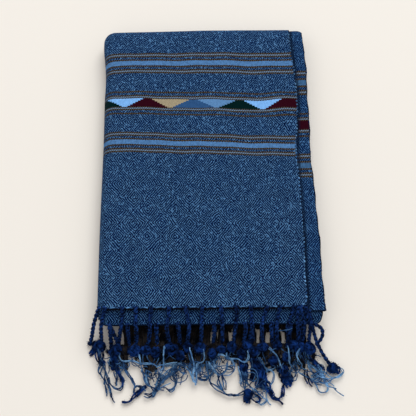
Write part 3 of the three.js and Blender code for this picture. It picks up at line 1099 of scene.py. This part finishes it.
top_cords = cords("top_cords", TOP_CORDS, TOP_END + 1.0, CORD_RADIUS, [STRAY_RIGHT_CORD])
lower_cords = cords("lower_cords", LOWER_CORDS, LOWER_END + 0.8, CORD_RADIUS * 0.9, [CORNER_LOOP])
top_knots = knots("top_knots", TOP_CORDS + LOOSE_KNOTS, 3)
lower_knots = knots("lower_knots", LOWER_CORDS, 11)
top_ends = knot_ends("top_ends", TOP_CORDS[2:], 12, 12)
lower_ends = knot_ends("lower_ends", LOWER_CORDS, 16, 13)

# Unspun locks: half width, number of strands, and the line each follows in plan.
Lock = namedtuple("Lock", "width strands line")
TASSELS = (
    Lock(3.2, 24, ((-72, -112.5), (-71.3, -119), (-71.7, -126.5))),
    Lock(2.9, 22, ((19, -117), (20.5, -124), (20.5, -130), (20.5, -135))),
    Lock(1.7, 12, ((26.5, -117), (27, -126), (26.5, -136))),
    Lock(3.9, 34, ((28, -116), (31.5, -128), (32.5, -134), (32, -141.5))),
    Lock(3.3, 27, ((47.5, -123), (49.5, -129), (51, -133), (52, -140.5))),
    Lock(1.6, 12, ((69, -119), (72, -122.5), (77.5, -127))),
    Lock(2.2, 14, ((83, -124), (87, -127.5), (89.5, -130))),
    Lock(1.8, 14, ((23.5, -142), (22.5, -147), (22.3, -151.5))),
    Lock(1.5, 11, ((-84.5, -106), (-86, -110), (-90, -115))),
    Lock(1.4, 6, ((-48.5, -137), (-51.5, -139.5), (-57, -144.5))),
)


def tassels(locks):
    """Locks of strands that swell below where they start, with ragged ends."""
    paths, girths = [], []
    for lock in locks:
        middle = laid_path(lock.line)
        across = np.diff(middle, axis=0, append=middle[-1:] * 2 - middle[-2:-1])[:, [1, 0]] * (1, -1)
        across /= np.linalg.norm(across, axis=1)[:, None]
        share = np.linspace(0, 1, len(middle))
        swell = np.sin(np.pi * np.clip(share * 0.72 + 0.14, 0, 1)) ** 0.8
        for _ in range(lock.strands):
            aside, up = rng.uniform(-1, 1), rng.uniform(0, 1)
            sway = 0.45 * np.sin(share * rng.uniform(5, 14) + rng.uniform(0, 6))
            strand = middle.copy()
            strand[:, :2] += across * ((aside + sway) * lock.width * swell)[:, None]
            strand[:, 2] = 0.5 + up * math.sqrt(1 - aside**2) * lock.width * 1.2 * swell
            first, last = int(len(strand) * rng.uniform(0, 0.12)), int(len(strand) * rng.uniform(0.7, 1.0))
            paths.append(strand[first : max(last, first + 3)])
            girths.append(np.linspace(1.0, rng.uniform(0.4, 0.8), len(paths[-1])))
    return spun("tassels", paths, girths, navy_wool, radius=0.5, crimp=0.4, hairs=220000.0, seed=9)


tassel_wool = tassels(TASSELS)

# Between the cords below the lower end line, bare table shows only in these stretches of x.
BARE = (
    (-70.5, -65.3), (-39.8, -38.6), (-28.5, -27.9), (-2.3, -1.4), (2.0, 2.9), (10.4, 13.2), (29.8, 32.2),
    (36.4, 40.0), (47.6, 50.9),
)
# How far forward the dark mass below the knots reaches, between two values of x. The mass is more fringe, and
# its near-black colour is painted shade.
MASS = (
    (-68.5, -62.5, -125), (-56, -50, -122), (-50, -41, -128.5), (-41, -34, -126), (-34, -22, -125),
    (-19, -3.5, -126), (-3.5, 2.5, -121), (2.5, 10, -118.5), (10, 17, -124), (17, 46, -121.5),
    (46, 58, -124), (58, 68, -126.5),
)


def under_fringe():
    """More fringe pressed flat behind the cords and below the knots, where little light comes. Its near-black
    wool with brown-grey patches is painted shade and painted shadowed table.
    """
    paths = []
    for x in np.arange(-65, 66, FINE_STEP):
        bare = any(low - 0.4 < x < high + 0.4 for low, high in BARE)
        wave, lift = rng.uniform(0, 6), rng.uniform(0.8, 3.0)
        ys = np.linspace(FLAP_BACK + rng.uniform(-6, -3), -97.2 + rng.uniform(-2, 1.5) if bare else -109, 5)
        stops = [(x + 0.3 * math.sin(wave + y / 3), y, lift + 0.8 * rng.random()) for y in ys]
        paths.append(smooth_path(stops, FINE_STEP))
    for low, high, front_y in MASS:
        for x in np.arange(low, high, FINE_STEP):
            end, lean = front_y + rng.uniform(-1, 6), rng.normal(0, 1.0)
            stops = []
            for k, y in enumerate(np.linspace(-107.5, end, 4)):
                stops.append((x + lean * k / 3 + rng.normal(0, 0.3), y, 0.8 + 2.2 * rng.random()))
            if not in_opening(*stops[-1][:2]):
                paths.append(smooth_path(stops, FINE_STEP))
    girths = tapered(paths, 1.0, 0.6)
    return spun("under_fringe", paths, girths, painted_shade_wool, radius=0.85, crimp=0.35, hairs=120000.0, seed=21)


deep_fringe = under_fringe()

# Loose yarn on the table, as stops in plan.
BRIGHT_ROUTES = (
    ((-35, -111), (-36, -118.5), (-36.5, -124), (-39.5, -128), (-40.5, -132), (-41.5, -139.5), (-44, -145.5)),
    ((-67.5, -117), (-64.5, -120), (-57.5, -119), (-52.5, -120.5), (-44.5, -121.5), (-41, -123)),
    ((-54, -115.5), (-52.5, -121.5), (-51, -127.5), (-48, -130), (-47.5, -134.5), (-44, -138),
     (-40, -138.5), (-31.5, -135)),
    ((-17.5, -112), (-15.5, -117.5), (-14.5, -124), (-15.5, -130), (-13.5, -136.5)),
    ((-8, -113), (-7, -117.5), (-8, -120), (-11.5, -121.5), (-12.5, -126.5), (-13.5, -133.5),
     (-13.5, -136.5)),
    ((-4, -120.5), (-2, -125), (1.5, -129.5), (6, -128.5), (9, -124.5), (9.5, -119.5)),
    ((-0.5, -120), (1.5, -124.5), (4, -127.5), (7.5, -126), (9, -121)),
    ((39, -112.5), (42.5, -115.5), (45, -118.5), (47, -124), (50.5, -126.5), (55, -127), (57, -126)),
    ((52.5, -112), (53, -116.5), (53, -121), (55.5, -125.5)),
    ((61, -113), (59, -117.5), (60, -122), (62.5, -125.5), (65.5, -127)),
    ((66.5, -124.5), (72, -126.5), (76.5, -129.5), (78, -134), (79.5, -138.5), (83, -140),
     (86, -143.5), (90.5, -146.5)),
    ((68.5, -134), (75, -136), (80, -136.5), (83, -133.5), (87, -132), (91, -129.5)),
)
PALE_ROUTES = (
    ((-35, -123), (-28, -122), (-24, -121), (-18, -126.5), (-15.5, -132), (-13.5, -135.5)),
    ((2, -116.5), (6, -116.5), (9.5, -117.5), (13, -119.5), (14.5, -124), (11, -129), (6, -130)),
    ((31, -118), (34.5, -122), (37.5, -125.5), (40.5, -126), (44.5, -123.5)),
    ((36.5, -128.5), (38, -126.5), (41, -128.5), (41, -133.5), (39, -138), (36, -145), (37, -150),
     (39, -152)),
    ((59, -128), (62.5, -130), (66, -132.5), (69.5, -133), (76, -130.5), (77.5, -127.5)),
    ((66, -121), (67, -126), (70, -130), (74, -132), (79, -133)),
    ((70, -135), (72, -138.5), (73, -142), (75.5, -143.5), (79, -142), (79.5, -138.5)),
    ((83.5, -125), (87.5, -125.5), (90.5, -127), (91, -130), (86.5, -133), (81.5, -133.5), (75, -132),
     (68, -127)),
    ((24.5, -139), (29, -142), (33, -146.5), (35.5, -148.5), (32, -151.5), (29.5, -148.5)),
    ((9, -115), (9.5, -118.5), (15.5, -118.5), (21, -121), (24, -119), (23.5, -114)),
    ((16.5, -123), (18.5, -130), (18.5, -137)),
    ((-9.5, -120), (-10.5, -126)),
    ((-27, -122.5), (-33.5, -126), (-39.5, -132), (-41.5, -138), (-43.5, -145.5)),
    ((-27, -121.5), (-35.5, -121.5), (-41.5, -123.5)),
    ((66, -122), (72, -127), (80, -135), (84, -139)),
    ((68, -131), (76, -128.5), (84, -133.5)),
    ((73, -124), (76, -131), (80, -138)),
)
DUSKY_ROUTES = (
    ((-79, -121), (-78.5, -123.5), (-77, -127.5), (-76, -132), (-73, -141.5), (-72.5, -145.5), (-70.5, -149)),
    ((-80, -121), (-82.5, -125.5), (-82, -127.5), (-78.5, -131.5), (-77.5, -135), (-76, -140.5),
     (-75.5, -144)),
    ((-69.5, -124), (-67, -129), (-65, -133), (-65, -138), (-67, -139.5), (-70.5, -138.5),
     (-73.5, -135.5), (-75, -131)),
    ((-64, -120), (-63, -125.5), (-60, -131), (-57, -136), (-56.5, -139), (-57, -142.5)),
    ((-57, -142), (-56.5, -137.5), (-53, -136.5), (-50.5, -138), (-49, -141)),
    ((-50, -143), (-44, -145.5), (-41.5, -141), (-40.5, -138.5), (-38, -133), (-40, -127)),
    ((-26, -124), (-29, -128), (-27.5, -133.5), (-29.5, -138.5), (-33, -140), (-35, -138.5), (-38, -138)),
    ((-27.5, -122.5), (-31.5, -127.5), (-34.5, -131), (-38, -135), (-43, -136)),
    ((-12, -131.5), (-9.5, -133), (-6, -133), (-5, -131), (-4, -127)),
    ((-5, -121), (-4.5, -129), (-3.5, -134), (1.5, -138), (5.5, -141.5), (8.5, -144), (12, -143.5),
     (14.5, -144.5), (19.5, -144), (22.5, -142.5), (28, -142)),
    ((-50.5, -128), (-47.5, -135), (-41.5, -139.5), (-36, -140.5)),
    ((-25, -124), (-31, -129), (-37, -135), (-40.5, -139.5), (-46.5, -142.5)),
    ((2.5, -130), (3.5, -136), (5, -141.5)),
    ((5.5, -129), (6, -135), (7, -140)),
    ((20, -128), (20, -134), (20.5, -140)),
    ((22, -128), (23.5, -136), (27, -141)),
    ((-70, -127), (-69, -131), (-70, -136)),
    ((-82, -112), (-81, -117), (-79.5, -120)),
)
NAVY_ROUTES = (
    ((-65, -149), (-60.5, -148.5), (-57, -145.5), (-52.5, -141.5), (-48.5, -137)),
    ((65, -127), (65.5, -131), (67, -136), (69, -138.5)),
    ((67, -119), (69.5, -121), (74, -124), (77.5, -127)),
    ((33.5, -135.5), (36.5, -140.5), (40, -146.5), (44, -148), (47, -152)),
    ((34.5, -134), (37.5, -139.5), (41, -145), (44.5, -148)),
    ((48, -138.5), (47, -144.5), (45, -148)),
    ((-69.5, -124.5), (-67.5, -129), (-65.5, -134), (-65, -138)),
    ((22, -146), (26, -143.5), (30, -145), (32, -148.5), (28.5, -149.5), (25, -147)),
    ((-83.5, -113), (-82.5, -117), (-80.5, -120)),
    ((-79, -113), (-79, -117), (-79.5, -120)),
    ((-74.5, -101), (-72, -107)),
)
LOFT, LEAN = 3.3, 0.45  # how high loose yarn springs off the table, and its lean for each unit of that
# Tangles of fine yarn: the middle and half sizes of each in plan, and its loops.
Tangle = namedtuple("Tangle", "at half loops")
TANGLES = (
    Tangle((-38, -130), (7, 6), 6),
    Tangle((-49, -127), (5, 5), 4),
    Tangle((3, -123), (9, 6), 6),
    Tangle((35, -140), (6, 8), 5),
    Tangle((24, -134), (6, 9), 5),
    Tangle((72, -130), (9, 7), 6),
    Tangle((-27, -129), (7, 6), 3),
    Tangle((-13, -125.5), (5, 6), 7),
    Tangle((-67, -122), (8, 5), 6),
    Tangle((-21, -124), (7, 4.5), 5),
    Tangle((-6, -125), (7, 6), 6),
    Tangle((-46, -130), (5, 6), 4),
    Tangle((29, -143), (5, 5), 4),
    Tangle((12, -126), (5, 3), 3),
    Tangle((57, -127), (5, 7), 5),
    Tangle((73, -136), (7, 5), 2),
)


def lofted(plan):
    """Lifts yarn between the knots and its ends, most in the middle of the fringe. It leans forward."""
    spring = LOFT * smooth(-152, -128, plan[:, 1]) * (1 - 0.8 * smooth(-122, -112, plan[:, 1]))
    spring *= 0.35 + 0.65 * bump(0, 85, plan[:, 0])
    plan[:, 2] += spring
    plan[:, 1] -= LEAN * spring
    return plan


def loose_yarn(name, routes, material, companions, radius, crimp, seed):
    """Loose yarn along its routes: a main yarn on each, and thinner ones that wander beside it."""
    paths, girths = [], []
    for route in routes:
        for copy in range(1 + companions):
            plan = laid_path(route)
            run = FINE_STEP * np.arange(len(plan))
            for axis in (0, 1):
                wander = rng.uniform(0.5, 1.0) * np.sin(run / rng.uniform(2.5, 6) + rng.uniform(0, 6))
                plan[:, axis] += wander * (0.3 + 0.8 * copy)
            knot_side = smooth(-124, -112, plan[:, 1]) * 6.5
            plan[:, 2] = radius + 0.3 + 0.8 * (1 + np.sin(run / 5 + rng.uniform(0, 6))) + knot_side
            plan = lofted(plan)
            plan = plan[: int(len(plan) * rng.uniform(0.7, 1.0))] if copy else plan
            paths.append(plan)
            girths.append(np.linspace(1.1, 0.8, len(plan)) * (0.6 if copy else 1))
    return spun(name, paths, girths, material, radius, crimp, hairs=110000.0, seed=seed)


def tangles(rows):
    """Fine yarn that curls back over itself."""
    paths = []
    for row in rows:
        for _ in range(row.loops):
            turn = np.linspace(0, rng.uniform(2.5, 7.0), 40)
            swing = rng.uniform(0, 6, 4)
            plan = np.zeros((len(turn), 3))
            for axis in (0, 1):
                round_turn = np.sin(turn + swing[0] + axis * rng.uniform(1.1, 2.0)) * rng.uniform(0.4, 0.7)
                drift = np.sin(turn * rng.uniform(0.3, 0.6) + swing[axis + 2]) * rng.uniform(0.3, 0.6)
                plan[:, axis] = row.at[axis] + row.half[axis] * (round_turn + drift)
            plan[:, 2] = 0.5 + rng.uniform(0, 1.2) + 0.6 * (1 + np.sin(turn * 2 + swing[0]))
            paths.append(smooth_path(lofted(plan)[::3], FINE_STEP))
    girths = tapered(paths, 1.0, 0.7)
    return spun("tangles", paths, girths, dusky_wool, radius=0.32, crimp=0.15, hairs=60000.0, seed=35)


def curly_ends():
    """Curls of thin yarn that spill from below the knots, and the stray thread."""
    paths = []
    for cord in TOP_CORDS[2:] + LOWER_CORDS:
        for _ in range(2):
            x, y = cord.knot[0] + rng.uniform(-3, 3), cord.knot[1] - rng.uniform(2, 6)
            heading, turn = -math.pi / 2 + rng.uniform(-1.1, 1.1), rng.normal(0, 0.22)
            length = rng.uniform(8, 18)
            stops = []
            for step in np.arange(0, length, 2.0):
                rest = 1.0 + 1.5 * rng.random()
                stops.append((x, y, rest + 0.9 * cord.size * float(1 - smooth(0, 9, step))))
                heading += turn + rng.normal(0, 0.38)
                x, y = x + 2 * math.cos(heading), min(y + 2 * math.sin(heading), cord.knot[1] - 2)
            paths.append(smooth_path(stops, FINE_STEP))
    paths.append(smooth_path(STRAY_THREAD, FINE_STEP))
    girths = tapered(paths, 1.0, 0.6)
    return spun("curls", paths, girths, dusky_wool, radius=0.33, crimp=0.3, hairs=120000.0, seed=34)


bright_yarn = loose_yarn("bright_yarn", BRIGHT_ROUTES, pale_wool, 1, radius=0.38, crimp=0.25, seed=30)
pale_yarn = loose_yarn("pale_yarn", PALE_ROUTES, pale_wool, 1, radius=0.35, crimp=0.25, seed=31)
dusky_yarn = loose_yarn("dusky_yarn", DUSKY_ROUTES, dusky_wool, 2, radius=0.42, crimp=0.3, seed=32)
navy_yarn = loose_yarn("navy_yarn", NAVY_ROUTES, navy_wool, 2, radius=0.55, crimp=0.35, seed=33)
fine_yarn = tangles(TANGLES)
curls = curly_ends()


# ------------------------------------------------------------------ edges


def edge_path(xs, ys, depth):
    """Points at a depth under the pile's face, along an edge of the cloth."""
    flat = np.zeros(len(xs))
    return settled(folded(np.array(xs, float), np.array(ys, float), flat, flat, depth))


def round_corner(selvedge, end_line, radius):
    """Points along a rounded front corner, from the end line to the selvedge."""
    turn = np.linspace(0.25, math.pi / 2, 8)
    ys = end_line + radius * (1 - np.cos(turn))
    return selvedge(ys) - radius * (1 - np.sin(turn)), ys


def edge_loops(name, path, material, pitch, long, thick):
    """Beads of yarn where the weft turns back at a selvedge."""
    sizes = {"Pitch": pitch * MM, "Long": long * MM, "Thick": thick * MM, "Material": material}
    return grown(name, paths_object([path], [1.0]), bead_tree, sizes)


def top_edge():
    """The top layer's edge, round its corner and along its selvedge."""
    ys = np.linspace(TOP_END + CORNER + 0.5, BEND_Y, 160)
    corner_x, corner_y = round_corner(top_selvedge, TOP_END, CORNER)
    xs = np.concatenate([corner_x, top_selvedge(ys) + selvedge_waves(ys)]) - 0.75
    return edge_path(xs, np.concatenate([corner_y + 0.4, ys]), -0.2)


def strip_edge():
    """The selvedge of the strip beside the top layer."""
    ys = np.linspace(UNDER_END + 1, BEND_Y - 4, 160)
    return edge_path(under_selvedge(ys) - 0.35 + selvedge_waves(ys), ys, LAYER + 0.5)


def end_picks():
    """The last weft, a pale dash between each cord and the next along the top end line."""
    paths = []
    for cord, following in zip(TOP_CORDS[1:-1], TOP_CORDS[2:]):
        xs = np.linspace(cord.x + 2.7, following.x - 2.7, 9)
        paths.append(edge_path(xs, TOP_END + 0.35 + 0.5 * np.sin(np.linspace(0, math.pi, 9)), 0.1))
    girths = [np.sin(np.linspace(0.35, math.pi - 0.35, 9)) for _ in paths]
    return threads("end_picks", paths, girths, pick_wool, radius=0.52, crimp=0.1, step=0.7)


def closing():
    """The dark last thread that closes the top end line, between the pale dashes and the cords. Its
    near-black wool also paints the shadow line under the top layer's end.
    """
    xs = np.linspace(BEND_X - 4, TOP_SELVEDGE - 2, 120)
    ys = TOP_END - 0.35 + 0.2 * np.sin(xs / 7) + 0.15 * np.sin(xs / 2.7)
    path = edge_path(xs, ys, 0.9)
    return threads("closing_thread", [path], [1.0], shade_dark_wool, radius=0.55, crimp=0.1, step=0.7)


top_loops = edge_loops("top_selvedge_loops", top_edge(), selvedge_wool, pitch=3.0, long=0.95, thick=0.7)
under_loops = edge_loops("under_selvedge_loops", strip_edge(), navy_wool, pitch=3.7, long=1.0, thick=0.55)
last_weft, closing_thread = end_picks(), closing()


# ------------------------------------------------------------------ how the pieces ride, and the stretches' flat sizes

of_top = [top_cords, top_knots, top_ends, curls, fine_yarn, tassel_wool, bright_yarn, pale_yarn]
of_lower = [lower_cords, lower_knots, lower_ends, deep_fringe, dusky_yarn, navy_yarn]
top_edging = [top_loops, last_weft, closing_thread]

for pieces, node, slot in (
    ([top_cloth], "top_stretch", "cloth"),
    ([under_cloth], "under_stretch", "cloth"),
    ([lower_cloth], "lower_end", "cloth"),
    ([hidden, front], "folded_core", "cloth"),
    (of_top, "top_fringe", "fringe"),
    (of_lower, "lower_fringe", "fringe"),
    ([*top_edging, under_loops], None, "fringe"),
):
    for piece in pieces:
        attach(piece, "root")
        if node:
            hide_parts(node)


def cut(selvedge, end):
    """The flat size of a stretch: its top and its two turned parts, in metres."""
    across = selvedge - BEND_X + LEFT_TURN * FOLD_REACH
    along = BEND_Y - end + BACK_TURN * (FOLD_REACH + MIDDLE) / 2
    return across * MM, along * MM


for piece, selvedge, end, below, others in (
    (top_cloth, TOP_SELVEDGE, TOP_END, "under_stretch", [*of_top, *top_edging]),
    (under_cloth, UNDER_SELVEDGE - STRIP_NARROWS / 2, UNDER_END, "lower_end", [under_loops]),
    (lower_cloth, LOWER_SELVEDGE - STRIP_NARROWS / 2, LOWER_END, "folded_core", of_lower),
):
    cut(selvedge, end)


# ------------------------------------------------------------------ stage, light and camera

PAPER = (238, 233, 225)
TABLE_HALF = 6.0  # the table and the lights are in metres


def table():
    mesh = bpy.data.meshes.new("table")
    low, high = -TABLE_HALF, TABLE_HALF
    mesh.from_pydata([(low, low, 0), (high, low, 0), (high, high, 0), (low, high, 0)], [], [(0, 1, 2, 3)])
    look = Look("table")
    paper = look.node("ShaderNodeBsdfPrincipled", {}, {"Base Color": colour(PAPER), "Roughness": 0.9})
    look.node("ShaderNodeOutputMaterial", {}, {"Surface": paper})
    mesh.materials.append(look.material)
    linked("table", mesh)


def faced(rig, place, forward):
    """Puts a lamp or the camera in its place, facing forward."""
    rig.location = place
    rig.rotation_euler = forward.to_track_quat("-Z", "Y").to_euler()


def soft_light(name, place, size, power, tint):
    """A large square lamp that faces the middle of the table."""
    lamp = bpy.data.lights.new(name, "AREA")
    lamp.size, lamp.energy, lamp.color = size, power, tint
    faced(linked(name, lamp), Vector(place), -Vector(place))


def camera():
    """Looks down at the pile from its fringed side."""
    distance, lens = 0.8, 92.7
    aim = Vector((-0.0031, -0.0051, 0.012))
    elevation, azimuth = math.radians(66), math.radians(-0.754)
    outward = Vector((math.sin(azimuth), -math.cos(azimuth), 0)) * math.cos(elevation)
    back = outward + Vector((0, 0, math.sin(elevation)))
    data = bpy.data.cameras.new("camera")
    data.lens, data.sensor_width = lens, 36
    data.clip_start, data.clip_end = 0.01, 20
    rig = linked("camera", data)
    faced(rig, aim + back * distance, -back)
    bpy.context.scene.camera = rig


def surroundings(tint, strength):
    """Even light from all round."""
    world = bpy.data.worlds.new("studio")
    world.use_nodes = True
    background = world.node_tree.nodes["Background"].inputs
    background[0].default_value, background[1].default_value = (*tint, 1), strength
    bpy.context.scene.world = world


table()
soft_light("key", (0.85, 2.45, 2.9), size=3.0, power=115.5, tint=(0.972, 0.966, 0.938))
soft_light("fill", (-0.5, -0.8, 1.7), size=2.0, power=7.2, tint=(1.1, 0.965, 0.79))
surroundings((0.95, 0.98, 1.05), strength=0.472)
bpy.context.scene.view_settings.view_transform = "Standard"
bpy.context.scene.cycles.denoising_prefilter = "NONE"  # keeps the weave crisp
camera()
